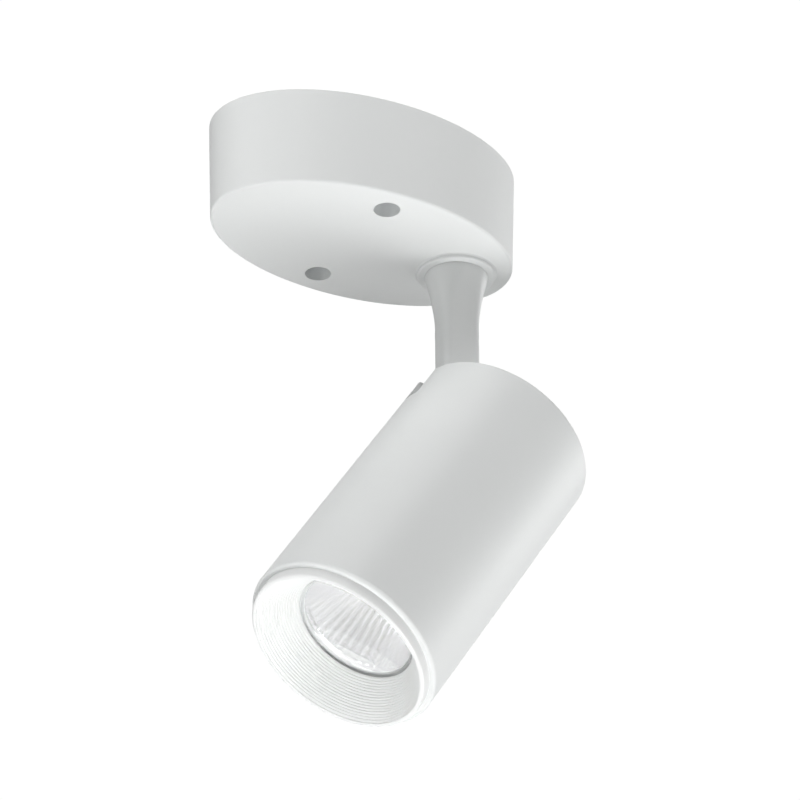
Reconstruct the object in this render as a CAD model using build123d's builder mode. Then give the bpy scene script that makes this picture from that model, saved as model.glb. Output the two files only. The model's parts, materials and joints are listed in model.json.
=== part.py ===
from build123d import *
import math
import os

# Surface mounted ceiling spotlight. Millimetres, +Z up.
# Origin: middle of the canopy's oval, on the ceiling plane. The canopy's long
# axis is X, the stem hangs near its +X end and the head leans towards -X.

# ---------------------------------------------------------------- dimensions
# canopy
A_TOP, B_TOP = 51.4, 31.75          # half axes of the oval at the ceiling
A_BOT, B_BOT = 50.25, 30.7           # half axes at the underside (draft)
H_CAN = 32.0                        # height of the canopy
T_CAN = 2.2                         # side wall
T_FLOOR = 2.4                       # underside wall
RIM_R = 0.8                         # rounding of the lower rim
SCREW_X, SCREW_Y = -4.0, 21.3       # canopy screws
RECESS_R = 4.05                     # recess seen in the underside
RECESS_TOP = -25.0                  # bearing face of the screw heads
COLUMN_R = 5.9
COLUMN_TOP = -12.0

# swivel
STEM_X = 33.2                       # vertical swivel axis
COLLAR_R = 12.3
COLLAR_Z = -33.3                    # lower face of the collar
BORE_R = 5.08                       # running fit for the nipple
NIPPLE_R = 5.0
NIPPLE_BORE = 3.3
ARM_TOP = -33.4
NIP_DEPTH = 7.5                     # thread of the nipple in the arm
STOP_R = 7.4                        # radius of the stop groove
STOP_ANGLE = 345                    # length of the stop groove, degrees

# arm
BLADE_X, BLADE_Y = 12.6, 8.4        # section of the blade
BLADE_R = 2.2                       # its rounded corners
BLADE_TOP = -56.0                   # where the flare has run out
PIVOT_Z = -84.55                    # tilt axis (along Y)
KNUCKLE_R = 6.3
LEAD_R = 1.1

# head, in its own frame: x towards the slot side, y = world Y, z to the front
TILT = 33.75                        # degrees from straight down, at rest
HEAD_R = 30.0
HEAD_BORE = 28.25
HEAD_L = 97.35
REAR_WALL = 2.0
SLOT_W = 10.0
SLOT_LEN = 12.8                     # along the side wall
SLOT_IN = 6.4                       # inner end in the rear wall
PX, PZ = 13.25, 6.1                 # pivot in the head's frame
RING_R = 28.1                       # protruding front ring
RING_Z = 100.65                     # its front face
LIP_R = 26.65                       # inner edge of the lip
APER_R = 18.7                       # inner edge of the ribbed cone
APER_Z = 89.5
RIBS = 16

TH = math.radians(TILT)
D = Vector(-math.sin(TH), 0, -math.cos(TH))     # head axis, rear to front
N = Vector(-math.cos(TH), 0, math.sin(TH))      # towards the slot side
PIVOT = Vector(STEM_X, 0, PIVOT_Z)
HEAD_O = PIVOT - N * PX - D * PZ                # centre of the rear face


def hz(h):
    """Cross-section plane of the head at height h along its axis."""
    return Plane(origin=HEAD_O + D * h, x_dir=N, z_dir=D)


# lengthwise plane of the head: local x = slot side, local y = along the axis
HXZ = Plane(origin=HEAD_O, x_dir=N, z_dir=N.cross(D))
PARTS = {}


def keep(name, part):
    part.label = name
    PARTS[name] = part


# ------------------------------------------------------------------- canopy
with BuildPart() as canopy_housing:
    with BuildSketch(Plane.XY.offset(-H_CAN)):
        Ellipse(A_BOT, B_BOT)
    with BuildSketch(Plane.XY):
        Ellipse(A_TOP, B_TOP)
    loft(ruled=True)
    fillet(canopy_housing.edges().group_by(Axis.Z)[0], RIM_R)
    with BuildSketch(Plane.XY.offset(-H_CAN + T_FLOOR)):
        Ellipse(A_BOT - T_CAN + 0.1, B_BOT - T_CAN + 0.1)
    with BuildSketch(Plane.XY.offset(0.0)):
        Ellipse(A_TOP - T_CAN, B_TOP - T_CAN)
    loft(ruled=True, mode=Mode.SUBTRACT)
    # columns for the two canopy screws
    with BuildSketch(Plane.XY.offset(-H_CAN + T_FLOOR - 0.4)):
        with Locations((SCREW_X, SCREW_Y), (SCREW_X, -SCREW_Y)):
            Circle(COLUMN_R)
    extrude(amount=COLUMN_TOP + H_CAN - T_FLOOR + 0.4)
    # seat of the terminal block and two ribs that locate the driver
    with BuildSketch(Plane.XY.offset(-H_CAN + T_FLOOR - 0.4)):
        with Locations((15.5, 0)):
            Rectangle(9.0, 24.0)
    extrude(amount=4.0)
    with BuildSketch(Plane.XY.offset(-H_CAN + T_FLOOR - 0.4)):
        with Locations((-16, 14.6), (-16, -14.6)):
            Rectangle(26.0, 1.2)
    extrude(amount=4.4)
    # collar: ring outside, boss inside
    with BuildSketch(Plane.XZ):
        with BuildLine():
            Polyline((STEM_X, -31.0), (STEM_X + COLLAR_R + 0.4, -31.0),
                     (STEM_X + COLLAR_R + 0.4, -H_CAN),
                     (STEM_X + COLLAR_R, -H_CAN - 0.4),
                     (STEM_X + COLLAR_R, COLLAR_Z + 0.7))
            RadiusArc((STEM_X + COLLAR_R, COLLAR_Z + 0.7),
                      (STEM_X + COLLAR_R - 0.7, COLLAR_Z), 0.7)
            Polyline((STEM_X + COLLAR_R - 0.7, COLLAR_Z), (STEM_X, COLLAR_Z),
                     (STEM_X, -31.0))
        make_face()
    revolve(axis=Axis((STEM_X, 0, 0), (0, 0, 1)))
    with BuildSketch(Plane.XY.offset(-H_CAN + T_FLOOR - 0.4)):
        with Locations((STEM_X, 0)):
            Circle(9.0)
    extrude(amount=2.0)
    # bore of the swivel and its stop groove
    with BuildSketch(Plane.XY.offset(COLLAR_Z - 1)):
        with Locations((STEM_X, 0)):
            Circle(BORE_R)
    extrude(amount=12, mode=Mode.SUBTRACT)
    with BuildSketch(Plane(origin=(STEM_X, 0, 0),
                           x_dir=Vector(1, 0, 0).rotate(Axis.Z, -STOP_ANGLE / 2),
                           z_dir=Vector(0, -1, 0).rotate(Axis.Z, -STOP_ANGLE / 2))):
        with Locations((STOP_R, COLLAR_Z + 0.9)):
            Rectangle(2.6, 1.8 + 0.4)
    revolve(axis=Axis((STEM_X, 0, 0), (0, 0, 1)),
            revolution_arc=STOP_ANGLE, mode=Mode.SUBTRACT)
    # recesses and through holes of the canopy screws
    with BuildSketch(Plane.XY.offset(-H_CAN - 0.5)):
        with Locations((SCREW_X, SCREW_Y), (SCREW_X, -SCREW_Y)):
            Circle(RECESS_R)
    extrude(amount=RECESS_TOP + H_CAN + 0.5, mode=Mode.SUBTRACT)
    with BuildSketch(Plane.XY.offset(RECESS_TOP - 1)):
        with Locations((SCREW_X, SCREW_Y), (SCREW_X, -SCREW_Y)):
            Circle(2.3)
    extrude(amount=COLUMN_TOP - RECESS_TOP + 2, mode=Mode.SUBTRACT)
    # blind hole for the terminal block's fixing screw
    with BuildSketch(Plane.XY.offset(-26)):
        with Locations((15.5, 4)):
            Circle(1.25)
    extrude(amount=-4.2, mode=Mode.SUBTRACT)
keep("canopy_housing", canopy_housing.part)

# ceiling bracket: strip along X with two folded legs along Y
BR_T = 1.5
with BuildPart() as ceiling_bracket:
    with BuildSketch(Plane.XY):
        SlotOverall(84, 22)
        with Locations((SCREW_X, 0)):
            Rectangle(13, 53)
    extrude(amount=-BR_T)
    fillet(ceiling_bracket.edges().filter_by(Axis.Z).group_by(Axis.Y)[0], 2)
    fillet(ceiling_bracket.edges().filter_by(Axis.Z).group_by(Axis.Y)[-1], 2)
    # legs and feet
    for s in (1, -1):
        with BuildSketch(Plane.XY):
            with Locations((SCREW_X, s * (26.5 - BR_T / 2 - 0.0))):
                Rectangle(9, BR_T)
        extrude(amount=-11.5)
        with BuildSketch(Plane.XY.offset(-10.0)):
            with Locations((SCREW_X, s * 21.6)):
                Rectangle(9, 9.8)
        extrude(amount=-BR_T)
    with BuildSketch(Plane.XY):
        with Locations((30, 0), (-30, 0)):
            Circle(2.25)                       # ceiling screws
        with Locations((8, 0)):
            Circle(5.0)                        # cable entry
        with Locations((-17, 5)):
            Circle(1.65)                       # earth screw
    extrude(amount=-BR_T, mode=Mode.SUBTRACT)
    with BuildSketch(Plane.XY.offset(-9.5)):
        with Locations((SCREW_X, SCREW_Y), (SCREW_X, -SCREW_Y)):
            Circle(1.7)                        # tapped for the canopy screws
    extrude(amount=-3, mode=Mode.SUBTRACT)
keep("ceiling_bracket", ceiling_bracket.part)

with BuildPart() as bracket_grommet:
    with BuildSketch(Plane.XZ):
        with BuildLine():
            Polyline((8 + 3.0, 0), (8 + 5.0, 0), (8 + 5.0, -BR_T), (8 + 6.6, -BR_T),
                     (8 + 6.6, -BR_T - 1.6), (8 + 5.6, -BR_T - 2.4),
                     (8 + 3.0, -BR_T - 2.4), (8 + 3.0, 0))
        make_face()
    revolve(axis=Axis((8, 0, 0), (0, 0, 1)))
keep("bracket_grommet", bracket_grommet.part)


def pan_screw(name, plane, places, head_r, head_h, shank_r, shank_l, cross):
    """Pan head screws on one plane: the plane's +Z is the way the shank points."""
    with BuildPart() as p:
        with BuildSketch(plane.offset(-head_h)):
            with Locations(*places):
                Circle(head_r)
        extrude(amount=head_h)
        fillet(p.edges().filter_by(GeomType.CIRCLE).sort_by(
            lambda e: (e.center() - plane.origin).dot(plane.z_dir))[:len(places)],
            head_h * 0.4)
        with BuildSketch(plane):
            with Locations(*places):
                Circle(shank_r)
        extrude(amount=shank_l)
        # cross recess
        with BuildSketch(plane.offset(-head_h)):
            with Locations(*places):
                Rectangle(cross, cross * 0.26)
                Rectangle(cross * 0.26, cross)
        extrude(amount=head_h * 0.55, mode=Mode.SUBTRACT)
    keep(name, p.part)
    return p


pan_screw("canopy_screws", Plane.XY.offset(RECESS_TOP),
          [(SCREW_X, SCREW_Y), (SCREW_X, -SCREW_Y)], 3.6, 2.4, 1.7, 18.0, 3.6)
pan_screw("earth_screw", Plane.XY.offset(-BR_T),
          [(-17, 5)], 2.9, 1.8, 1.65, 1.3, 2.8)

# driver
DX0, DX1, DY, DZ0, DZ1 = -40.0, 8.0, 13.5, -28.8, -12.8
with BuildPart() as driver_pad:
    with BuildSketch(Plane.XY.offset(-H_CAN + T_FLOOR)):
        with Locations((-16, 0)):
            Rectangle(40, 20)
    extrude(amount=0.8)
keep("driver_pad", driver_pad.part)

with BuildPart() as driver_case:
    with BuildSketch(Plane.XY.offset(DZ0)):
        with Locations(((DX0 + DX1) / 2, 0)):
            RectangleRounded(DX1 - DX0, 2 * DY, 2)
    extrude(amount=DZ1 - 1.4 - DZ0)
    with BuildSketch(Plane.XY.offset(DZ0 + 1.2)):
        with Locations(((DX0 + DX1) / 2, 0)):
            RectangleRounded(DX1 - DX0 - 2.6, 2 * DY - 2.6, 1)
    extrude(amount=20, mode=Mode.SUBTRACT)
    # two stand-offs for the board, lead outlet and wire inlets in the +X end
    with BuildSketch(Plane.XY.offset(DZ0 + 1.0)):
        with Locations((-34, 0), (2, 0)):
            Rectangle(4, 16)
    extrude(amount=2.2)
    with BuildSketch(Plane.YZ.offset(DX1 - 3)):
        with Locations((0, -15.9)):
            Circle(LEAD_R)
        with Locations((-8, -21), (8, -21)):
            Circle(0.9)
    extrude(amount=6, mode=Mode.SUBTRACT)
keep("driver_case", driver_case.part)

with BuildPart() as driver_lid:
    with BuildSketch(Plane.XY.offset(DZ1 - 1.4)):
        with Locations(((DX0 + DX1) / 2, 0)):
            RectangleRounded(DX1 - DX0, 2 * DY, 2)
    extrude(amount=1.4)
    fillet(driver_lid.edges().group_by(Axis.Z)[-1], 0.5)
    # vent slits
    with BuildSketch(Plane.XY.offset(DZ1)):
        with Locations(((DX0 + DX1) / 2, 0)):
            with GridLocations(4, 0, 6, 1):
                SlotOverall(12, 1.4, rotation=90)
    extrude(amount=-3, mode=Mode.SUBTRACT)
keep("driver_lid", driver_lid.part)

with BuildPart() as driver_pcb:
    with BuildSketch(Plane.XY.offset(DZ0 + 3.2)):
        with Locations(((DX0 + DX1) / 2, 0)):
            Rectangle(44, 22)
    extrude(amount=1.2)
keep("driver_pcb", driver_pcb.part)

PCB_TOP = DZ0 + 4.4
with BuildPart() as driver_transformer:
    with BuildSketch(Plane.XY.offset(PCB_TOP)):
        with Locations((-14, 0)):
            Rectangle(12, 13)
    extrude(amount=1.6)
    with BuildSketch(Plane.XY.offset(PCB_TOP + 1.6)):
        with Locations((-14, 0)):
            Rectangle(9, 8)
    extrude(amount=5.0)
    with BuildSketch(Plane.XY.offset(PCB_TOP + 6.6)):
        with Locations((-14, 0)):
            Rectangle(12, 13)
    extrude(amount=1.6)
keep("driver_transformer", driver_transformer.part)

with BuildPart() as driver_capacitors:
    with BuildSketch(Plane.XY.offset(PCB_TOP)):
        with Locations((-30, 4), (-30, -5), (-1, -6)):
            Circle(3.2)
    extrude(amount=8.4)
    fillet(driver_capacitors.edges().group_by(Axis.Z)[-1], 0.5)
keep("driver_capacitors", driver_capacitors.part)

# terminal block on its seat
with BuildPart() as terminal_block:
    with BuildSketch(Plane.XY.offset(-26)):
        with Locations((15.5, 0)):
            Rectangle(9.0, 24.0)
    extrude(amount=8.8)
    chamfer(terminal_block.edges().group_by(Axis.Z)[-1], 0.6)
    with BuildSketch(Plane.YZ.offset(10)):
        with Locations((-8, -21), (0, -21), (8, -21)):
            Circle(1.3)
    extrude(amount=12, mode=Mode.SUBTRACT)
    with BuildSketch(Plane.XY.offset(-17)):
        with Locations((13, -8), (13, 0), (13, 8), (18, -8), (18, 0), (18, 8)):
            Circle(1.25)
    extrude(amount=-4, mode=Mode.SUBTRACT)
    with BuildSketch(Plane.XY.offset(-17)):
        with Locations((15.5, 4)):
            Circle(1.4)
    extrude(amount=-12, mode=Mode.SUBTRACT)
    with BuildSketch(Plane.XY.offset(-17)):
        with Locations((15.5, 4)):
            Circle(2.4)
    extrude(amount=-3.2, mode=Mode.SUBTRACT)
keep("terminal_block", terminal_block.part)

with BuildPart() as terminal_screws:
    with BuildSketch(Plane.XY.offset(-20.0)):
        with Locations((13, -8), (13, 0), (13, 8), (18, -8), (18, 0), (18, 8)):
            Circle(1.2)
    extrude(amount=2.0)
    with BuildSketch(Plane.XY.offset(-18)):
        with Locations((13, -8), (13, 0), (13, 8), (18, -8), (18, 0), (18, 8)):
            Rectangle(1.9, 0.4)
    extrude(amount=-0.7, mode=Mode.SUBTRACT)
keep("terminal_screws", terminal_screws.part)

pan_screw("terminal_fixing_screw",
          Plane(origin=(0, 0, -20.2), x_dir=(1, 0, 0), z_dir=(0, 0, -1)),
          [(15.5, -4)], 2.3, 1.6, 1.25, 9.6, 2.4)

with BuildPart() as driver_input_wires:
    with BuildSketch(Plane.YZ.offset(5.5)):
        with Locations((-8, -21), (8, -21)):
            Circle(0.9)
    extrude(amount=9.0)
keep("driver_input_wires", driver_input_wires.part)

# lead from the driver over the terminal block and down into the nipple
LZ = -15.9
NIP_TOP = -23.4
with BuildPart() as driver_output_lead:
    with BuildLine() as lead_path_a:
        FilletPolyline((3.0, 0, LZ), (STEM_X, 0, LZ), (STEM_X, 0, NIP_TOP + 0.4),
                       radius=6.6)
    with BuildSketch(Plane(origin=(3.0, 0, LZ), z_dir=(1, 0, 0))):
        Circle(LEAD_R)
    sweep()
keep("driver_output_lead", driver_output_lead.part)

# ---------------------------------------------------------------------- arm
with BuildPart() as arm_blade:
    # blade and hinge knuckle: flat sides, full round end, rounded corners
    with BuildSketch(Plane.XZ.offset(-BLADE_Y / 2)):
        with Locations((STEM_X, (BLADE_TOP + PIVOT_Z) / 2)):
            Rectangle(BLADE_X, BLADE_TOP - PIVOT_Z)
        with Locations((STEM_X, PIVOT_Z)):
            Circle(KNUCKLE_R)
    extrude(amount=BLADE_Y)
    fillet(arm_blade.edges().filter_by(
        lambda e: abs(abs(e.center().Y) - BLADE_Y / 2) < 0.01
        and e.center().Z < BLADE_TOP - 0.5), BLADE_R)

# height, half width along X, half width along Y, corner radius
FLARE = [(ARM_TOP, 9.76, 9.76, 9.7), (-36.3, 9.0, 8.35, 7.6), (-40.3, 7.8, 6.45, 4.8),
         (-44.2, 7.05, 5.3, 3.3), (-48.5, 6.5, 4.5, 2.5), (-52.2, 6.32, 4.22, 2.22),
         (BLADE_TOP, BLADE_X / 2, BLADE_Y / 2, BLADE_R)]
with BuildPart() as stem_arm:
    # flared root, round at the collar and blending into the blade
    for z, hx, hy, r in FLARE:
        with BuildSketch(Plane(origin=(STEM_X, 0, z))):
            RectangleRounded(2 * hx, 2 * hy, r)
    loft()
    add(arm_blade.part)
    # lead channel, nipple thread, pivot screw holes, stop pin hole
    with BuildSketch(Plane.XY.offset(ARM_TOP + 1)):
        with Locations((STEM_X, 0)):
            Circle(1.7)
    extrude(amount=-70, mode=Mode.SUBTRACT)
    with BuildSketch(Plane.XY.offset(ARM_TOP + 1)):
        with Locations((STEM_X, 0)):
            Circle(NIPPLE_R)
    extrude(amount=-1 - NIP_DEPTH, mode=Mode.SUBTRACT)
    for s in (1, -1):
        with BuildSketch(Plane(origin=(STEM_X, s * BLADE_Y / 2, PIVOT_Z), x_dir=(1, 0, 0),
                               z_dir=(0, -s, 0))):
            Circle(1.25)
        extrude(amount=2.2, mode=Mode.SUBTRACT)
    with BuildSketch(Plane.XY.offset(ARM_TOP)):
        with Locations((STEM_X + STOP_R, 0)):
            Circle(0.9)
    extrude(amount=-2.0, mode=Mode.SUBTRACT)
keep("stem_arm", stem_arm.part)

with BuildPart() as swivel_nipple:
    with BuildSketch(Plane.XY.offset(ARM_TOP - NIP_DEPTH)):
        with Locations((STEM_X, 0)):
            Circle(NIPPLE_R)
            Circle(NIPPLE_BORE, mode=Mode.SUBTRACT)
    extrude(amount=NIP_TOP - ARM_TOP + NIP_DEPTH)
    chamfer(swivel_nipple.edges().group_by(Axis.Z)[-1].sort_by(SortBy.RADIUS)[-1], 0.4)
keep("swivel_nipple", swivel_nipple.part)

SW0 = -H_CAN + T_FLOOR + 1.6                  # top of the inner boss, -28.0
with BuildPart() as swivel_friction_washer:
    with BuildSketch(Plane.XY.offset(SW0)):
        with Locations((STEM_X, 0)):
            Circle(8.6)
            Circle(NIPPLE_R + 0.02, mode=Mode.SUBTRACT)
    extrude(amount=0.7)
keep("swivel_friction_washer", swivel_friction_washer.part)

with BuildPart() as swivel_wave_washer:
    with BuildSketch(Plane.XY.offset(SW0 + 0.7)):
        with Locations((STEM_X, 0)):
            Circle(8.0)
            Circle(NIPPLE_R + 0.05, mode=Mode.SUBTRACT)
    extrude(amount=0.6)
keep("swivel_wave_washer", swivel_wave_washer.part)

with BuildPart() as swivel_nut:
    with BuildSketch(Plane.XY.offset(SW0 + 1.3)):
        with Locations((STEM_X, 0)):
            RegularPolygon(8.0, 6, major_radius=True)
            Circle(NIPPLE_R, mode=Mode.SUBTRACT)
    extrude(amount=2.4)
keep("swivel_nut", swivel_nut.part)

with BuildPart() as swivel_stop_pin:
    with BuildSketch(Plane.XY.offset(ARM_TOP - 2.0)):
        with Locations((STEM_X + STOP_R, 0)):
            Circle(0.9)
    extrude(amount=2.0 + 1.5)
keep("swivel_stop_pin", swivel_stop_pin.part)

with BuildPart() as arm_lead:
    with BuildSketch(Plane.XY.offset(NIP_TOP - 0.2)):
        with Locations((STEM_X, 0)):
            Circle(LEAD_R)
    extrude(amount=PIVOT_Z - KNUCKLE_R - NIP_TOP)
keep("arm_lead", arm_lead.part)

EAR_Y0, EAR_T = 4.8, 2.0
with BuildPart() as pivot_screws:
    for s in (1, -1):
        pl = Plane(origin=(STEM_X, 0, PIVOT_Z), x_dir=(1, 0, 0), z_dir=(0, s, 0))
        with BuildSketch(pl.offset(BLADE_Y / 2 - 2.2)):
            Circle(1.25)
        extrude(amount=2.2)
        with BuildSketch(pl.offset(BLADE_Y / 2)):
            Circle(2.0)
        extrude(amount=EAR_Y0 + EAR_T + 0.15 - BLADE_Y / 2)
        with BuildSketch(pl.offset(EAR_Y0 + EAR_T + 0.15)):
            Circle(3.3)
        extrude(amount=1.5)
        with BuildSketch(pl.offset(EAR_Y0 + EAR_T + 1.65)):
            RegularPolygon(1.2, 6)
        extrude(amount=-1.0, mode=Mode.SUBTRACT)
keep("pivot_screws", pivot_screws.part)

with BuildPart() as pivot_washers:
    for s in (1, -1):
        pl = Plane(origin=(STEM_X, 0, PIVOT_Z), x_dir=(1, 0, 0), z_dir=(0, s, 0))
        with BuildSketch(pl.offset(BLADE_Y / 2)):
            Circle(3.7)
            Circle(2.0, mode=Mode.SUBTRACT)
        extrude(amount=0.55)
keep("pivot_washers", pivot_washers.part)

# --------------------------------------------------------------------- head
REAR_SCREWS = [(-17, 13), (-17, -13)]
with BuildPart() as head_housing:
    with BuildSketch(hz(0)):
        Circle(HEAD_R)
    extrude(amount=HEAD_L)
    fillet(head_housing.edges().filter_by(GeomType.CIRCLE).sort_by(
        lambda e: (e.center() - HEAD_O).dot(D))[0], 1.2)
    fillet(head_housing.edges().filter_by(GeomType.CIRCLE).sort_by(
        lambda e: (e.center() - HEAD_O).dot(D))[-1], 1.0)
    with BuildSketch(hz(REAR_WALL)):
        Circle(HEAD_BORE)
    extrude(amount=HEAD_L, mode=Mode.SUBTRACT)
    # slot of the arm: rear wall and side wall
    with BuildSketch(hz(-1)):
        with Locations(((SLOT_IN + 34) / 2, 0)):
            Rectangle(34 - SLOT_IN, SLOT_W)
    extrude(amount=SLOT_LEN + 1, mode=Mode.SUBTRACT)
    # countersunk holes of the rear screws
    with BuildSketch(hz(-0.1)):
        with Locations(*REAR_SCREWS):
            Circle(1.6)
    extrude(amount=4, mode=Mode.SUBTRACT)
    with BuildSketch(hz(0)):
        with Locations(*REAR_SCREWS):
            Circle(3.0)
    extrude(amount=1.4, taper=45, mode=Mode.SUBTRACT)
keep("head_housing", head_housing.part)

HS0, HS1 = 52.0, 58.0                          # heat sink's base disc
with BuildPart() as heat_sink:
    with BuildSketch(hz(HS0)):
        Circle(28.15)
    extrude(amount=HS1 - HS0)
    # fins, open in the middle for the lead
    with BuildSketch(hz(22)):
        Circle(27.0)
        Rectangle(60, 6, mode=Mode.SUBTRACT)
        with Locations((0, 4.9 + 2.2), (0, 9.3 + 2.2), (0, 13.7 + 2.2), (0, 18.1 + 2.2),
                       (0, 22.5 + 2.2), (0, -4.9 - 2.2), (0, -9.3 - 2.2), (0, -13.7 - 2.2),
                       (0, -18.1 - 2.2), (0, -22.5 - 2.2)):
            Rectangle(60, 2.6, mode=Mode.SUBTRACT)
    extrude(amount=HS0 - 22)
    # pillars: two long ones up to the rear wall, two for the hinge bracket
    with BuildSketch(hz(REAR_WALL)):
        with Locations(*REAR_SCREWS):
            Circle(3.4)
    extrude(amount=HS0 - REAR_WALL)
    with BuildSketch(hz(16.0)):
        with Locations((15, 11.6), (15, -11.6)):
            Circle(3.4)
    extrude(amount=HS0 - 16.0)
    # tapped holes and the lead's hole
    with BuildSketch(hz(REAR_WALL)):
        with Locations(*REAR_SCREWS):
            Circle(1.25)
    extrude(amount=9, mode=Mode.SUBTRACT)
    with BuildSketch(hz(16.0)):
        with Locations((15, 11.6), (15, -11.6)):
            Circle(1.25)
    extrude(amount=7, mode=Mode.SUBTRACT)
    with BuildSketch(hz(HS1)):
        with Locations((0, 14.5), (0, -14.5)):
            Circle(1.25)
    extrude(amount=-5, mode=Mode.SUBTRACT)
    with BuildSketch(hz(HS0 - 1)):
        with Locations((12.6, 0)):
            Circle(1.6)
    extrude(amount=HS1 - HS0 + 2, mode=Mode.SUBTRACT)
keep("heat_sink", heat_sink.part)


def flat_screw(name, plane, places, head_r, head_h, shank_r, shank_l, cross):
    """Countersunk screws: the plane is the head's flat face."""
    with BuildPart() as p:
        with BuildSketch(plane):
            with Locations(*places):
                Circle(head_r)
        extrude(amount=head_h, taper=45)
        with BuildSketch(plane.offset(head_h - 0.05)):
            with Locations(*places):
                Circle(shank_r)
        extrude(amount=shank_l)
        with BuildSketch(plane):
            with Locations(*places):
                Rectangle(cross, cross * 0.26)
                Rectangle(cross * 0.26, cross)
        extrude(amount=head_h * 0.6, mode=Mode.SUBTRACT)
    keep(name, p.part)


flat_screw("rear_screws", hz(0.15), REAR_SCREWS, 2.8, 1.5, 1.25, 8.0, 3.0)

# hinge bracket: base plate on the pillars, two ears
with BuildPart() as hinge_bracket:
    with BuildSketch(hz(14.0)):
        with Locations((15, 0)):
            RectangleRounded(10.0, 31.0, 2)
    extrude(amount=2.0)
    for s in (1, -1):
        with BuildSketch(Plane(origin=HEAD_O + Vector(0, s * EAR_Y0, 0), x_dir=N,
                               z_dir=Vector(0, s, 0))):
            with Locations((PX, PZ if s == -1 else -PZ)):
                Circle(3.9)
            with Locations((PX, (PZ + 15) / 2 if s == -1 else -(PZ + 15) / 2)):
                Rectangle(7.8, 15 - PZ)
        extrude(amount=EAR_T)
    for s in (1, -1):
        with BuildSketch(Plane(origin=PIVOT + Vector(0, s * 3, 0), x_dir=N,
                               z_dir=Vector(0, s, 0))):
            Circle(2.05)
        extrude(amount=6, mode=Mode.SUBTRACT)
    with BuildSketch(hz(13.0)):
        with Locations((15, 11.6), (15, -11.6)):
            Circle(1.6)
    extrude(amount=5, mode=Mode.SUBTRACT)
keep("hinge_bracket", hinge_bracket.part)
pan_screw("hinge_bracket_screws", hz(14.0), [(15, 11.6), (15, -11.6)],
          2.7, 1.8, 1.25, 8.0, 2.6)

with BuildPart() as thermal_pad:
    with BuildSketch(hz(HS1)):
        Rectangle(20, 20)
    extrude(amount=0.3)
keep("thermal_pad", thermal_pad.part)

with BuildPart() as led_board:
    with BuildSketch(hz(HS1 + 0.3)):
        Rectangle(19, 19)
    extrude(amount=1.0)
keep("led_board", led_board.part)

with BuildPart() as led_emitter:
    with BuildSketch(hz(HS1 + 1.3)):
        Circle(6.0)
    extrude(amount=0.5)
    fillet(led_emitter.edges().filter_by(GeomType.CIRCLE).sort_by(
        lambda e: (e.center() - HEAD_O).dot(D))[-1], 0.3)
keep("led_emitter", led_emitter.part)

HOLD = 64.0
with BuildPart() as led_holder:
    with BuildSketch(hz(HS1)):
        Circle(19.0)
    extrude(amount=HOLD - HS1)
    fillet(led_holder.edges().filter_by(GeomType.CIRCLE).sort_by(
        lambda e: (e.center() - HEAD_O).dot(D))[-1], 0.8)
    # pocket for the board, the pad and the lead's end
    with BuildSketch(hz(HS1)):
        with Locations((2.5, 0)):
            Rectangle(25.6, 20.6)
    extrude(amount=2.3, mode=Mode.SUBTRACT)
    # light opening and the seat of the reflector's neck
    with BuildSketch(hz(HS1)):
        Circle(7.6)
    extrude(amount=10, mode=Mode.SUBTRACT)
    with BuildSketch(hz(HOLD - 2.2)):
        Circle(9.6)
    extrude(amount=6, mode=Mode.SUBTRACT)
    with BuildSketch(hz(HS1)):
        with Locations((0, 14.5), (0, -14.5)):
            Circle(1.6)
    extrude(amount=10, mode=Mode.SUBTRACT)
keep("led_holder", led_holder.part)

pan_screw("led_holder_screws",
          Plane(origin=HEAD_O + D * HOLD, x_dir=N, z_dir=D * -1),
          [(0, 14.5), (0, -14.5)], 2.7, 1.7, 1.25, 9.5, 2.6)

# reflector: aluminised bowl with a rim
RM_R, RM_Z = 17.6, 85.6                       # mouth
RN_R, RN_Z = 7.9, HOLD + 0.2                   # neck


def bowl(z, off=0.0):
    t = (z - RN_Z) / (RM_Z - RN_Z)
    return RN_R + (RM_R - RN_R) * (t ** 0.62) + off


ZS = [RN_Z + (RM_Z - RN_Z) * k / 10 for k in range(11)]
with BuildPart() as reflector:
    with BuildSketch(HXZ):
        with BuildLine():
            Polyline(*[(bowl(z), z) for z in ZS])
            Polyline((bowl(RM_Z), RM_Z), (bowl(RM_Z), RM_Z + 1.6), (20.6, RM_Z + 1.6),
                     (20.6, RM_Z + 0.4), (bowl(RM_Z, 1.1), RM_Z + 0.4),
                     (bowl(ZS[9], 1.1), ZS[9]))
            Polyline(*[(bowl(z, 1.1), z) for z in ZS[9:0:-1]], (RN_R + 1.2, RN_Z),
                     (RN_R + 1.2, HOLD - 1.8), (RN_R, HOLD - 1.8), (RN_R, RN_Z))
        make_face()
    revolve(axis=Axis(HEAD_O, D))
keep("reflector", reflector.part)

GL0 = RM_Z + 1.7                               # 87.3
with BuildPart() as front_glass:
    with BuildSketch(hz(GL0)):
        Circle(20.6)
    extrude(amount=2.0)
    chamfer(front_glass.edges(), 0.3)
keep("front_glass", front_glass.part)

with BuildPart() as glass_gasket:
    with BuildSketch(hz(RM_Z + 0.4)):
        Circle(21.5)
        Circle(20.7, mode=Mode.SUBTRACT)
    extrude(amount=3.2)
keep("glass_gasket", glass_gasket.part)

with BuildPart() as glass_retainer:
    with BuildSketch(hz(RM_Z - 1.6)):
        Circle(23.4)
        Circle(19.3, mode=Mode.SUBTRACT)
    extrude(amount=1.9)
    with BuildSketch(hz(RM_Z - 1.6)):
        with PolarLocations(22.9, 4):
            Circle(1.0)
    extrude(amount=1.9, mode=Mode.SUBTRACT)
keep("glass_retainer", glass_retainer.part)

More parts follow.
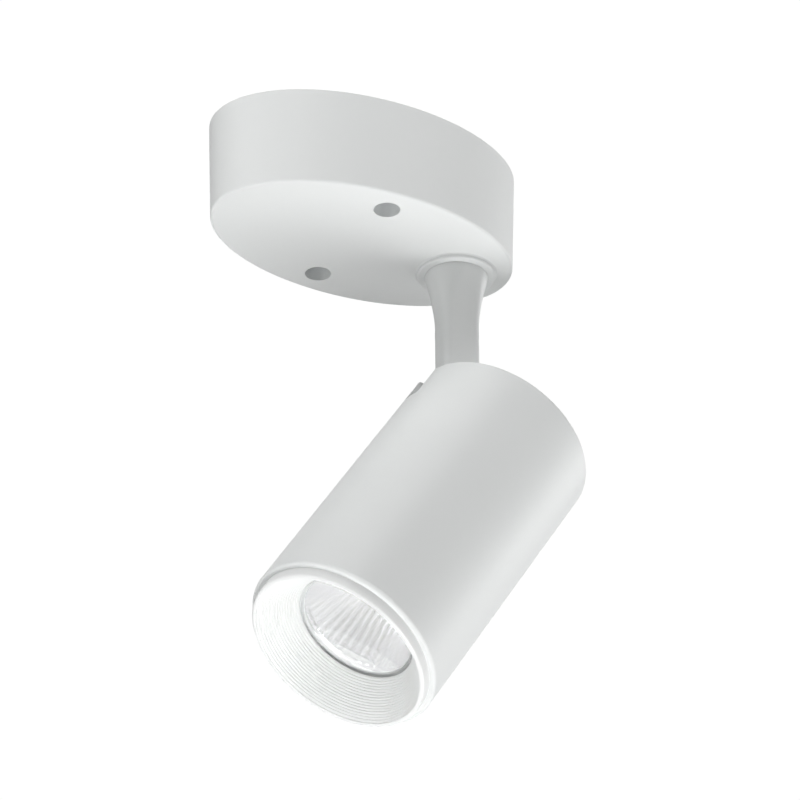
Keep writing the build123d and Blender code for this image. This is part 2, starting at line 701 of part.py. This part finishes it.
# baffle: outer skirt, lip, ribbed cone, seat of the glass
SK0 = RM_Z - 1.8
pts = []
dz = (RING_Z - 0.5 - APER_Z) / RIBS
dr = (LIP_R - 0.2 - APER_R) / RIBS
for k in range(RIBS):
    z0, r0 = APER_Z + dz * k, APER_R + dr * k
    pts += [(r0, z0), (r0 + dr * 0.25, z0 + dz * 0.72)]
with BuildPart() as baffle_ring:
    with BuildSketch(HXZ):
        with BuildLine():
            Polyline((RING_R, SK0), (RING_R, 92.0), (RING_R - 1.0, 92.0), (RING_R - 1.0, 93.8),
                     (RING_R, 93.8), (RING_R, RING_Z - 0.5), (RING_R - 0.5, RING_Z),
                     (LIP_R + 0.3, RING_Z), (LIP_R - 0.2, RING_Z - 0.5))
            Polyline((LIP_R - 0.2, RING_Z - 0.5), *pts[::-1])
            Polyline(pts[0], (APER_R, GL0 + 2.0), (21.5, GL0 + 2.0), (21.5, RM_Z + 0.35),
                     (23.5, RM_Z + 0.35), (23.5, SK0), (RING_R, SK0))
        make_face()
    revolve(axis=Axis(HEAD_O, D))
keep("baffle_ring", baffle_ring.part)

with BuildPart() as front_o_ring:
    with BuildSketch(HXZ):
        with Locations((RING_R - 0.4, 92.9)):
            Circle(0.55)
    revolve(axis=Axis(HEAD_O, D))
keep("front_o_ring", front_o_ring.part)


def hp(x, z):
    """World point in the head's lengthwise plane."""
    v = HEAD_O + N * x + D * z
    return (v.X, v.Y, v.Z)


# lead from the knuckle through the fins to the board
e0 = PIVOT + Vector(0, 0, -KNUCKLE_R - 0.5)
with BuildPart() as led_lead:
    with BuildLine() as lead_path_b:
        FilletPolyline((e0.X, e0.Y, e0.Z), (e0.X, 0, e0.Z - 9.6), hp(12.6, 36), hp(12.6, 59.6),
                       radius=[6.6, 14])
    with BuildSketch(Plane(origin=e0, z_dir=(0, 0, -1))):
        Circle(LEAD_R)
    sweep()
keep("led_lead", led_lead.part)

# ------------------------------------------------------------------- output
os.makedirs("parts", exist_ok=True)
for name, part in PARTS.items():
    export_step(part, "parts/" + name + ".step")
print("lead radii", 6.6, 14, "pieces", len(PARTS))
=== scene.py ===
import json
import math

import bmesh
import bpy
from mathutils import Matrix, Vector, noise


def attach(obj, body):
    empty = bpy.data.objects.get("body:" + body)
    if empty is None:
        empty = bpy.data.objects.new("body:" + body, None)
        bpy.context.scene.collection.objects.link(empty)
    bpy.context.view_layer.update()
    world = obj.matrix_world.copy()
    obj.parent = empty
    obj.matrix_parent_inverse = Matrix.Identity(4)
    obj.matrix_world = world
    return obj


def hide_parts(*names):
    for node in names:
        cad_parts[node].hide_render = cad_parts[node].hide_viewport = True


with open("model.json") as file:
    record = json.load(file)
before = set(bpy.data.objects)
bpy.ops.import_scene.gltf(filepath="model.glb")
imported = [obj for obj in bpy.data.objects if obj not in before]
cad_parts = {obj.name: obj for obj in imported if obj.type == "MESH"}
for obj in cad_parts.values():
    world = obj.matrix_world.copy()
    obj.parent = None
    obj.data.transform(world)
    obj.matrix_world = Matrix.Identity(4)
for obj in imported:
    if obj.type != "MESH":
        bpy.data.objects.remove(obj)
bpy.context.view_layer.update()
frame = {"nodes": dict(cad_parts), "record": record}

NODES = frame["nodes"]
MM = 0.001

# ------------------------------------------------------------------ geometry
# numbers of the frame, in millimetres
TH = math.radians(33.75)
D = Vector((-math.sin(TH), 0.0, -math.cos(TH)))
N = Vector((-math.cos(TH), 0.0, math.sin(TH)))
Y = Vector((0.0, 1.0, 0.0))
STEM_X, PIVOT_Z = 33.2, -84.55
HEAD_O = Vector((STEM_X, 0, PIVOT_Z)) - N * 13.25 - D * 6.1


def hp(x, y, z):
    """Point of the head's own frame, in row-frame metres."""
    return (HEAD_O + N * x + Y * y + D * z) * MM


def obj_from(name, verts, faces, body, angle=30.0):
    me = bpy.data.meshes.new(name)
    me.from_pydata([tuple(v) for v in verts], [], faces)
    me.validate()
    bm = bmesh.new()
    bm.from_mesh(me)
    bmesh.ops.recalc_face_normals(bm, faces=bm.faces)
    bm.to_mesh(me)
    bm.free()
    for p in me.polygons:
        p.use_smooth = True
    me.set_sharp_from_angle(angle=math.radians(angle))
    ob = bpy.data.objects.new(name, me)
    bpy.context.scene.collection.objects.link(ob)
    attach(ob, body)
    return ob


def lathe(name, profile, body, n=256, angle=30.0, closed=True, wobble=None):
    """Turns a profile of (r, z) in the head's frame about the head's axis."""
    verts, faces = [], []
    m = len(profile)
    for k in range(n):
        a = 2 * math.pi * k / n
        c, s = math.cos(a), math.sin(a)
        for i, (r, z) in enumerate(profile):
            dr = dz = 0.0
            if wobble:
                dr, dz = wobble(i, a)
            verts.append(hp((r + dr) * c, (r + dr) * s, z + dz))
    last = m if closed else m - 1
    for k in range(n):
        k2 = (k + 1) % n
        for i in range(last):
            j = (i + 1) % m
            faces.append((k * m + i, k * m + j, k2 * m + j, k2 * m + i))
    return obj_from(name, verts, faces, body, angle)


def arc(cx, cz, r, a0, a1, steps):
    return [(cx + r * math.cos(math.radians(a0 + (a1 - a0) * k / steps)),
             cz + r * math.sin(math.radians(a0 + (a1 - a0) * k / steps)))
            for k in range(steps + 1)]


# ----------------------------------------------------------------- materials
def new_mat(name):
    m = bpy.data.materials.new(name)
    m.use_nodes = True
    nt = m.node_tree
    return m, nt, nt.nodes["Principled BSDF"]


def node(nt, kind, **props):
    n = nt.nodes.new(kind)
    for k, v in props.items():
        setattr(n, k, v)
    return n


def noise_tex(nt, coord, scale, detail=2.0, rough=0.5, stretch=None):
    src = coord
    if stretch:
        mp = node(nt, "ShaderNodeMapping")
        mp.inputs["Scale"].default_value = stretch
        nt.links.new(coord, mp.inputs["Vector"])
        src = mp.outputs["Vector"]
    t = node(nt, "ShaderNodeTexNoise")
    t.inputs["Scale"].default_value = scale
    t.inputs["Detail"].default_value = detail
    t.inputs["Roughness"].default_value = rough
    nt.links.new(src, t.inputs["Vector"])
    return t.outputs["Fac"]


def ramp(nt, fac, stops):
    r = node(nt, "ShaderNodeValToRGB")
    els = r.color_ramp.elements
    while len(els) > 1:
        els.remove(els[-1])
    els[0].position, els[0].color = stops[0][0], (*stops[0][1], 1)
    for p, c in stops[1:]:
        e = els.new(p)
        e.color = (*c, 1)
    nt.links.new(fac, r.inputs["Fac"])
    return r.outputs["Color"]


def mul(c, k):
    return tuple(min(1.0, x * k) for x in c)


def bump(nt, height, strength, distance, normal=None):
    b = node(nt, "ShaderNodeBump")
    b.inputs["Strength"].default_value = strength
    b.inputs["Distance"].default_value = distance
    nt.links.new(height, b.inputs["Height"])
    if normal:
        nt.links.new(normal, b.inputs["Normal"])
    return b.outputs["Normal"]


def map_range(nt, fac, lo, hi):
    m = node(nt, "ShaderNodeMapRange")
    m.inputs["To Min"].default_value = lo
    m.inputs["To Max"].default_value = hi
    nt.links.new(fac, m.inputs["Value"])
    return m.outputs["Result"]


def coords(nt):
    return node(nt, "ShaderNodeTexCoord").outputs["Object"]


def powder(name, color, rough=(0.42, 0.50), grain=2600.0, depth=0.00003, strength=0.35,
           spec=0.24, coat=0.0):
    """Satin powder coat: fine orange peel, faint tone and gloss changes."""
    m, nt, p = new_mat(name)
    co = coords(nt)
    big = noise_tex(nt, co, 22.0, 3.0)
    nt.links.new(ramp(nt, big, [(0.3, mul(color, 0.985)), (0.7, color)]), p.inputs["Base Color"])
    nt.links.new(map_range(nt, noise_tex(nt, co, 140.0, 2.0), *rough), p.inputs["Roughness"])
    peel = noise_tex(nt, co, grain, 1.5)
    wave = noise_tex(nt, co, grain * 0.18, 1.0)
    nt.links.new(bump(nt, peel, strength, depth, bump(nt, wave, strength, depth)), p.inputs["Normal"])
    p.inputs["Specular IOR Level"].default_value = spec
    p.inputs["Coat Weight"].default_value = coat
    return m


def plastic(name, color, rough=(0.35, 0.45), grain=900.0, depth=0.00003, strength=0.25,
            var=0.96, spec=0.5, sss=0.0):
    m, nt, p = new_mat(name)
    co = coords(nt)
    nt.links.new(ramp(nt, noise_tex(nt, co, 60.0, 3.0), [(0.3, mul(color, var)), (0.7, color)]),
                 p.inputs["Base Color"])
    nt.links.new(map_range(nt, noise_tex(nt, co, 300.0, 2.0), *rough), p.inputs["Roughness"])
    nt.links.new(bump(nt, noise_tex(nt, co, grain, 2.0), strength, depth), p.inputs["Normal"])
    p.inputs["Specular IOR Level"].default_value = spec
    return m


def metal(name, color, rough=(0.25, 0.38), grain=500.0, stretch=(1, 1, 1), depth=0.00002,
          strength=0.3, dark=0.82, share=1.0):
    m, nt, p = new_mat(name)
    co = coords(nt)
    scratch = noise_tex(nt, co, grain, 4.0, 0.6, stretch)
    nt.links.new(ramp(nt, noise_tex(nt, co, 90.0, 4.0), [(0.25, mul(color, dark)), (0.75, color)]),
                 p.inputs["Base Color"])
    nt.links.new(map_range(nt, scratch, *rough), p.inputs["Roughness"])
    nt.links.new(bump(nt, scratch, strength, depth), p.inputs["Normal"])
    p.inputs["Metallic"].default_value = share
    return m


def circuit(name, base, trace, scale):
    """Solder mask over straight copper tracks."""
    m, nt, p = new_mat(name)
    co = coords(nt)
    br = node(nt, "ShaderNodeTexBrick")
    br.inputs["Scale"].default_value = scale
    br.inputs["Mortar Size"].default_value = 0.035
    br.inputs["Color1"].default_value = (*base, 1)
    br.inputs["Color2"].default_value = (*mul(base, 0.86), 1)
    br.inputs["Mortar"].default_value = (*trace, 1)
    nt.links.new(co, br.inputs["Vector"])
    nt.links.new(br.outputs["Color"], p.inputs["Base Color"])
    nt.links.new(map_range(nt, noise_tex(nt, co, 400.0), 0.28, 0.42), p.inputs["Roughness"])
    nt.links.new(bump(nt, br.outputs["Fac"], 0.4, 0.00003), p.inputs["Normal"])
    return m


def wound(name):
    """Transformer: yellow tape over dark ferrite."""
    m, nt, p = new_mat(name)
    co = coords(nt)
    wv = node(nt, "ShaderNodeTexWave")
    wv.bands_direction = "Z"
    wv.inputs["Scale"].default_value = 330.0
    wv.inputs["Distortion"].default_value = 0.6
    nt.links.new(co, wv.inputs["Vector"])
    nt.links.new(ramp(nt, wv.outputs["Fac"], [(0.15, (0.42, 0.31, 0.05)), (0.5, (0.74, 0.58, 0.10))]),
                 p.inputs["Base Color"])
    nt.links.new(map_range(nt, noise_tex(nt, co, 200.0), 0.3, 0.5), p.inputs["Roughness"])
    nt.links.new(bump(nt, wv.outputs["Fac"], 0.3, 0.00005), p.inputs["Normal"])
    return m


def clear(name, tint=(0.99, 1.0, 0.997), ior=1.42, rough=(0.0, 0.02), through=0.93):
    """Clear moulded cover that lets the lamps' light through."""
    m, nt, p = new_mat(name)
    out = nt.nodes["Material Output"]
    co = coords(nt)
    nt.links.new(ramp(nt, noise_tex(nt, co, 40.0, 2.0), [(0.3, mul(tint, 0.995)), (0.7, tint)]),
                 p.inputs["Base Color"])
    nt.links.new(map_range(nt, noise_tex(nt, co, 500.0), *rough), p.inputs["Roughness"])
    nt.links.new(bump(nt, noise_tex(nt, co, 260.0, 2.0), 0.06, 0.00002), p.inputs["Normal"])
    p.inputs["Transmission Weight"].default_value = through
    p.inputs["IOR"].default_value = ior
    tr = node(nt, "ShaderNodeBsdfTransparent")
    tr.inputs["Color"].default_value = (0.97, 0.985, 0.98, 1)
    lp = node(nt, "ShaderNodeLightPath")
    mix = node(nt, "ShaderNodeMixShader")
    nt.links.new(lp.outputs["Is Shadow Ray"], mix.inputs["Fac"])
    nt.links.new(p.outputs["BSDF"], mix.inputs[1])
    nt.links.new(tr.outputs["BSDF"], mix.inputs[2])
    nt.links.new(mix.outputs["Shader"], out.inputs["Surface"])
    return m


def phosphor(name):
    m, nt, p = new_mat(name)
    co = coords(nt)
    vo = node(nt, "ShaderNodeTexVoronoi")
    vo.inputs["Scale"].default_value = 900.0
    nt.links.new(co, vo.inputs["Vector"])
    col = ramp(nt, vo.outputs["Distance"], [(0.0, (1.0, 0.86, 0.46)), (0.6, (0.96, 0.74, 0.26))])
    nt.links.new(col, p.inputs["Base Color"])
    nt.links.new(map_range(nt, noise_tex(nt, co, 700.0), 0.25, 0.4), p.inputs["Roughness"])
    p.inputs["Emission Color"].default_value = (1.0, 0.97, 0.93, 1)
    p.inputs["Emission Strength"].default_value = 6.0
    return m


WHITE = (0.80, 0.815, 0.81)
M = {
    "white_metal": powder("powder_white", WHITE),
    "white_baffle": plastic("baffle_white", (0.86, 0.87, 0.865), rough=(0.38, 0.46), var=0.985),
    "white_plastic": plastic("plastic_white", (0.78, 0.78, 0.75)),
    "terminal_plastic": plastic("terminal_nylon", (0.70, 0.68, 0.60), rough=(0.3, 0.42)),
    "zinc_steel": metal("zinc_steel", (0.74, 0.76, 0.78), rough=(0.34, 0.48), stretch=(1, 0.08, 1), share=0.8),
    "spring_steel": metal("spring_steel", (0.50, 0.50, 0.52), rough=(0.18, 0.28)),
    "painted_screw": powder("painted_screw", mul(WHITE, 0.97), rough=(0.3, 0.4)),
    "brass": metal("brass", (0.80, 0.62, 0.30), rough=(0.2, 0.35)),
    "black_rubber": plastic("rubber_black", (0.02, 0.02, 0.021), rough=(0.6, 0.8), grain=1800, var=0.7),
    "clear_silicone": plastic("silicone", (0.75, 0.76, 0.76), rough=(0.5, 0.65)),
    "foam": plastic("foam_grey", (0.42, 0.43, 0.45), rough=(0.8, 0.95), grain=2500, depth=0.0002, strength=0.8, var=0.8),
    "circuit_board": circuit("board_green", (0.015, 0.16, 0.05), (0.05, 0.32, 0.10), 320.0),
    "winding": wound("transformer_tape"),
    "capacitor": plastic("sleeve_dark", (0.02, 0.025, 0.06), rough=(0.15, 0.25)),
    "wire_grey": plastic("wire_grey", (0.18, 0.19, 0.2), rough=(0.35, 0.5)),
    "wire_white": plastic("wire_white", (0.72, 0.72, 0.70), rough=(0.35, 0.5)),
    "nylon": plastic("nylon_natural", (0.76, 0.74, 0.66), rough=(0.3, 0.45)),
    "cast_aluminium": metal("aluminium_cast", (0.60, 0.61, 0.62), rough=(0.42, 0.6), grain=1500, depth=0.00006),
    "led_board": plastic("led_board_white", (0.82, 0.82, 0.80), rough=(0.3, 0.4)),
    "phosphor": phosphor("phosphor_yellow"),
    "metallised": metal("reflector_metallised", (0.95, 0.945, 0.96), rough=(0.07, 0.10), grain=700, depth=0.000004,
                        strength=0.15, dark=0.975, share=0.79),
    "clear_glass": clear("cover_clear"),
}
SLOT_OF = {s["node"]: s["material_slot"] for s in frame["record"]["subparts"]}
for name, ob in NODES.items():
    ob.data.materials.clear()
    ob.data.materials.append(M[SLOT_OF[name]])

# -------------------------------------------------------------------- pieces
# ribbed cone, lip and skirt of the front ring
RING_R, RING_Z, LIP_R = 28.1, 100.65, 26.65
APER_R, APER_Z, SK0, GL0, RM_Z = 18.7, 89.5, 83.8, 87.3, 85.6
RIBS = 16
SEAM_R = 28.215                        # close fit at the housing's end
p0, p1 = (APER_R, APER_Z + 0.1), (LIP_R - 0.2, RING_Z - 0.55)
ln = math.hypot(p1[0] - p0[0], p1[1] - p0[1])
tx, tz = (p1[0] - p0[0]) / ln, (p1[1] - p0[1]) / ln
nx, nz = -tz, tx                       # towards the axis
cone = []
STEPS = 8
RIB = 0.17
for k in range(RIBS):
    for j in range(STEPS):
        u = j / STEPS
        h = RIB * (1 - (2 * u - 1) ** 2) ** 0.8 if j else 0.0
        s = (k + u) / RIBS * ln
        cone.append((p0[0] + tx * s + nx * (h - RIB), p0[1] + tz * s + nz * (h - RIB)))
prof = [(RING_R, SK0), (RING_R, 92.0), (RING_R - 1.0, 92.0), (RING_R - 1.0, 93.8), (RING_R, 93.8),
        (SEAM_R, 94.4), (SEAM_R, 97.9), (RING_R, 98.4)]
prof += [(RING_R, RING_Z - 0.60), (RING_R - 0.03, RING_Z - 0.49), (RING_R - 0.49, RING_Z - 0.03),
         (RING_R - 0.60, RING_Z - 0.003)]
prof += arc(LIP_R + 0.35, RING_Z - 0.35, 0.35, 90, 200, 6)
prof += cone[::-1]
prof += [(APER_R, APER_Z), (APER_R, GL0 + 2.0), (21.5, GL0 + 2.0), (21.5, RM_Z + 0.35), (23.5, RM_Z + 0.35),
         (23.5, SK0)]
baffle = lathe("baffle_ribbed", prof, "head", n=288, angle=38)
baffle.data.materials.append(M["white_baffle"])
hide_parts("baffle_ring")

# faceted reflector
RN_R, RM_R, RN_Z, HOLD = 7.9, 17.6, 64.2, 64.0
COLS, ROWS, SUB = 48, 13, 6


def bowl(t):
    return RN_R + (RM_R - RN_R) * (t ** 0.62), RN_Z + (RM_Z - RN_Z) * t


# rows of equal length along the wall
samples = [bowl((k / 400) ** 1.5) for k in range(401)]
acc = [0.0]
for a, b in zip(samples, samples[1:]):
    acc.append(acc[-1] + math.hypot(b[0] - a[0], b[1] - a[1]))


def wall(s):
    """Point and inward normal at share s of the wall's length."""
    want = s * acc[-1]
    i = 0
    while i < 399 and acc[i + 1] < want:
        i += 1
    f = (want - acc[i]) / (acc[i + 1] - acc[i])
    a, b = samples[i], samples[i + 1]
    r, z = a[0] + (b[0] - a[0]) * f, a[1] + (b[1] - a[1]) * f
    lx, lz = b[0] - a[0], b[1] - a[1]
    q = math.hypot(lx, lz)
    return r, z, -lz / q, lx / q


levels = []
for j in range(ROWS * SUB + 1):
    r, z, nr, nzz = wall(j / (ROWS * SUB))
    levels.append((r, z, nr, nzz, j))
na = COLS * SUB
verts, faces = [], []
for r, z, nr, nzz, j in levels:
    v = 2 * ((j % SUB) / SUB) - 1 if j % SUB else -1
    for k in range(na):
        u = 2 * ((k % SUB) / SUB) - 1 if k % SUB else -1
        width = 2 * math.pi * r / COLS
        h = 0.080 * width * (1 - u * u) + 0.008 * 1.8 * (1 - v * v)
        h *= 1.0 if 0 < j < ROWS * SUB else 0.0
        a = 2 * math.pi * k / na
        # points on the turned wall, moved inward by the facet's bulge h
        rr, zz = r + nr * h, z + nzz * h
        verts.append(hp(rr * math.cos(a), rr * math.sin(a), zz))
rest = [(RM_R, RM_Z + 1.45), (RM_R + 0.15, RM_Z + 1.6), (20.6, RM_Z + 1.6), (20.6, RM_Z + 0.4),
        (RM_R + 1.1, RM_Z + 0.4)]
for k in range(9, 0, -1):
    r, z = bowl(k / 10)
    rest.append((r + 1.1, z))
rest += [(RN_R + 1.2, RN_Z), (RN_R + 1.2, HOLD - 1.8), (RN_R, HOLD - 1.8)]
for r, z in rest:
    for k in range(na):
        a = 2 * math.pi * k / na
        verts.append(hp(r * math.cos(a), r * math.sin(a), z))
rings = len(levels) + len(rest)
for i in range(rings):
    i2 = (i + 1) % rings
    for k in range(na):
        k2 = (k + 1) % na
        faces.append((i * na + k, i2 * na + k, i2 * na + k2, i * na + k2))
refl = obj_from("reflector_faceted", verts, faces, "head", angle=7.0)
refl.data.materials.append(M["metallised"])
refl.data.materials.append(plastic("rim_bare", (0.62, 0.62, 0.63)))      # bare rim under the cover
for i, p in enumerate(refl.data.polygons):
    c = sum((refl.data.vertices[v].co for v in p.vertices), Vector()) / len(p.vertices) / MM - HEAD_O
    if c.dot(D) > RM_Z + 0.2 and (c - D * c.dot(D)).length > RM_R + 0.1:
        p.material_index = 1
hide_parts("reflector")

# moulded cover: disc with a rounded step near its edge
prof = [(0.001, GL0), (19.9, GL0), (20.3, GL0 + 0.1), (20.55, GL0 + 0.35), (20.6, GL0 + 0.7), (20.6, GL0 + 1.4),
        (20.5, GL0 + 1.75), (20.2, GL0 + 1.95), (18.45, GL0 + 1.97)]
prof += arc(18.16, GL0 + 1.97, 0.15, 10, 170, 8)
prof += [(17.9, GL0 + 1.95), (17.6, GL0 + 1.9), (0.001, GL0 + 1.9)]


def cover_wobble(i, a):
    q = noise.noise(Vector((math.cos(a) * 7, math.sin(a) * 7, i * 0.13)))
    return (0.09 * q, 0.04 * q) if 9 <= i <= 17 else (0.0, 0.0)


cover = lathe("front_cover", prof, "head", n=256, angle=50, wobble=cover_wobble)
cover.data.materials.append(M["clear_glass"])
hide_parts("front_glass")

# -------------------------------------------------------------------- camera
cam = bpy.data.cameras.new("camera")
cam.lens = 148.5
cam.sensor_width = 36.0
cam.clip_start = 0.05
cam.clip_end = 50.0
cam_ob = bpy.data.objects.new("camera", cam)
right = Vector((0.86337, -0.50456, -0.00253))
down = Vector((0.24372, 0.42142, -0.87350))
fwd = Vector((0.44180, 0.75354, 0.48682))
rot = Matrix((right, -down, -fwd)).transposed().to_4x4()
cam_ob.matrix_world = Matrix.Translation((-0.42465, -0.74622, -0.56449)) @ rot
bpy.context.scene.collection.objects.link(cam_ob)
bpy.context.scene.camera = cam_ob

# -------------------------------------------------------- floor, light, world
AIM = Vector((0.01, 0.0, -0.09))


def area(name, direction, dist, size, power, color=(1, 1, 1)):
    d = Vector(direction).normalized()
    li = bpy.data.lights.new(name, "AREA")
    li.shape = "DISK"
    li.size = size
    li.energy = power
    li.color = color
    ob = bpy.data.objects.new(name, li)
    ob.location = AIM + d * dist
    ob.rotation_euler = (-d).to_track_quat("-Z", "Y").to_euler()
    bpy.context.scene.collection.objects.link(ob)
    return ob


LIGHTS = [
    ("front_l", (-0.923, -0.176, -0.342), 0.90, 0.50, 0.79),
    ("front_b", (-0.140, -0.235, -0.962), 0.90, 0.50, 6.03),
    ("left", (-0.884, 0.466, -0.022), 0.90, 0.50, 0.58),
    ("r_b", (0.713, -0.164, -0.681), 0.90, 0.50, 2.91),
    ("l_b", (-0.496, 0.543, -0.678), 0.90, 0.50, 0.78),
    ("r_t", (0.372, -0.754, 0.542), 0.90, 0.50, 2.33),
    ("l_t", (-0.837, -0.047, 0.545), 0.90, 0.50, 1.82),
    ("top", (-0.266, -0.459, 0.848), 0.90, 0.50, 2.54),
    ("r_back", (0.961, 0.019, 0.277), 0.90, 0.50, 2.74),
    ("b_back", (0.453, 0.777, -0.436), 0.90, 0.50, 0.64),
    ("lt_f", (-0.867, -0.404, 0.292), 0.90, 0.50, 1.16),
    ("cn1", (-0.723, -0.622, 0.301), 0.90, 0.40, 0.45),
    ("near_lb", (-0.757, 0.109, -0.644), 0.32, 0.16, 0.09),
]
for name, direction, dist, size, power in LIGHTS:
    area(name, direction, dist, size, power)

WORLD = 0.053
world = bpy.data.worlds.new("studio")
world.use_nodes = True
wt = world.node_tree
bg = wt.nodes["Background"]
tc = node(wt, "ShaderNodeTexCoord")
dot = node(wt, "ShaderNodeVectorMath", operation="DOT_PRODUCT")
dot.inputs[1].default_value = fwd
wt.links.new(tc.outputs["Generated"], dot.inputs[0])
mr = node(wt, "ShaderNodeMapRange")
mr.interpolation_type = "SMOOTHSTEP"
mr.inputs["From Min"].default_value = 0.86
mr.inputs["From Max"].default_value = 0.955
mr.inputs["To Min"].default_value = WORLD
mr.inputs["To Max"].default_value = 1.02
wt.links.new(dot.outputs["Value"], mr.inputs["Value"])
# the backdrop itself is plain and pale on every side
lpw = node(wt, "ShaderNodeLightPath")
sel = node(wt, "ShaderNodeMix", data_type="FLOAT")
wt.links.new(lpw.outputs["Is Camera Ray"], sel.inputs[0])
wt.links.new(mr.outputs["Result"], sel.inputs[2])
sel.inputs[3].default_value = 1.02
wt.links.new(sel.outputs[0], bg.inputs["Strength"])
bg.inputs["Color"].default_value = (1, 1, 1, 1)
bpy.context.scene.world = world

fl_me = bpy.data.meshes.new("floor")
fl_me.from_pydata([(-6, -6, -1.25), (6, -6, -1.25), (6, 6, -1.25), (-6, 6, -1.25)], [], [(0, 1, 2, 3)])
floor = bpy.data.objects.new("floor", fl_me)
bpy.context.scene.collection.objects.link(floor)
fmat, fnt, fp = new_mat("floor_pale")
nt_co = coords(fnt)
fnt.links.new(ramp(fnt, noise_tex(fnt, nt_co, 3.0, 3.0), [(0.3, (0.80, 0.80, 0.79)), (0.7, (0.84, 0.84, 0.83))]),
              fp.inputs["Base Color"])
fp.inputs["Roughness"].default_value = 0.7
fp.inputs["Emission Color"].default_value = (0.80, 0.80, 0.79, 1)
fp.inputs["Emission Strength"].default_value = 0.88
# the floor is a backdrop only: it neither shades nor lights the lamp
floor.visible_diffuse = False
floor.visible_glossy = False
floor.visible_transmission = False
floor.visible_shadow = False
fl_me.materials.append(fmat)

vs = bpy.context.scene.view_settings
vs.view_transform = "Standard"
vs.look = "None"
vs.exposure = 0.0
vs.gamma = 1.0
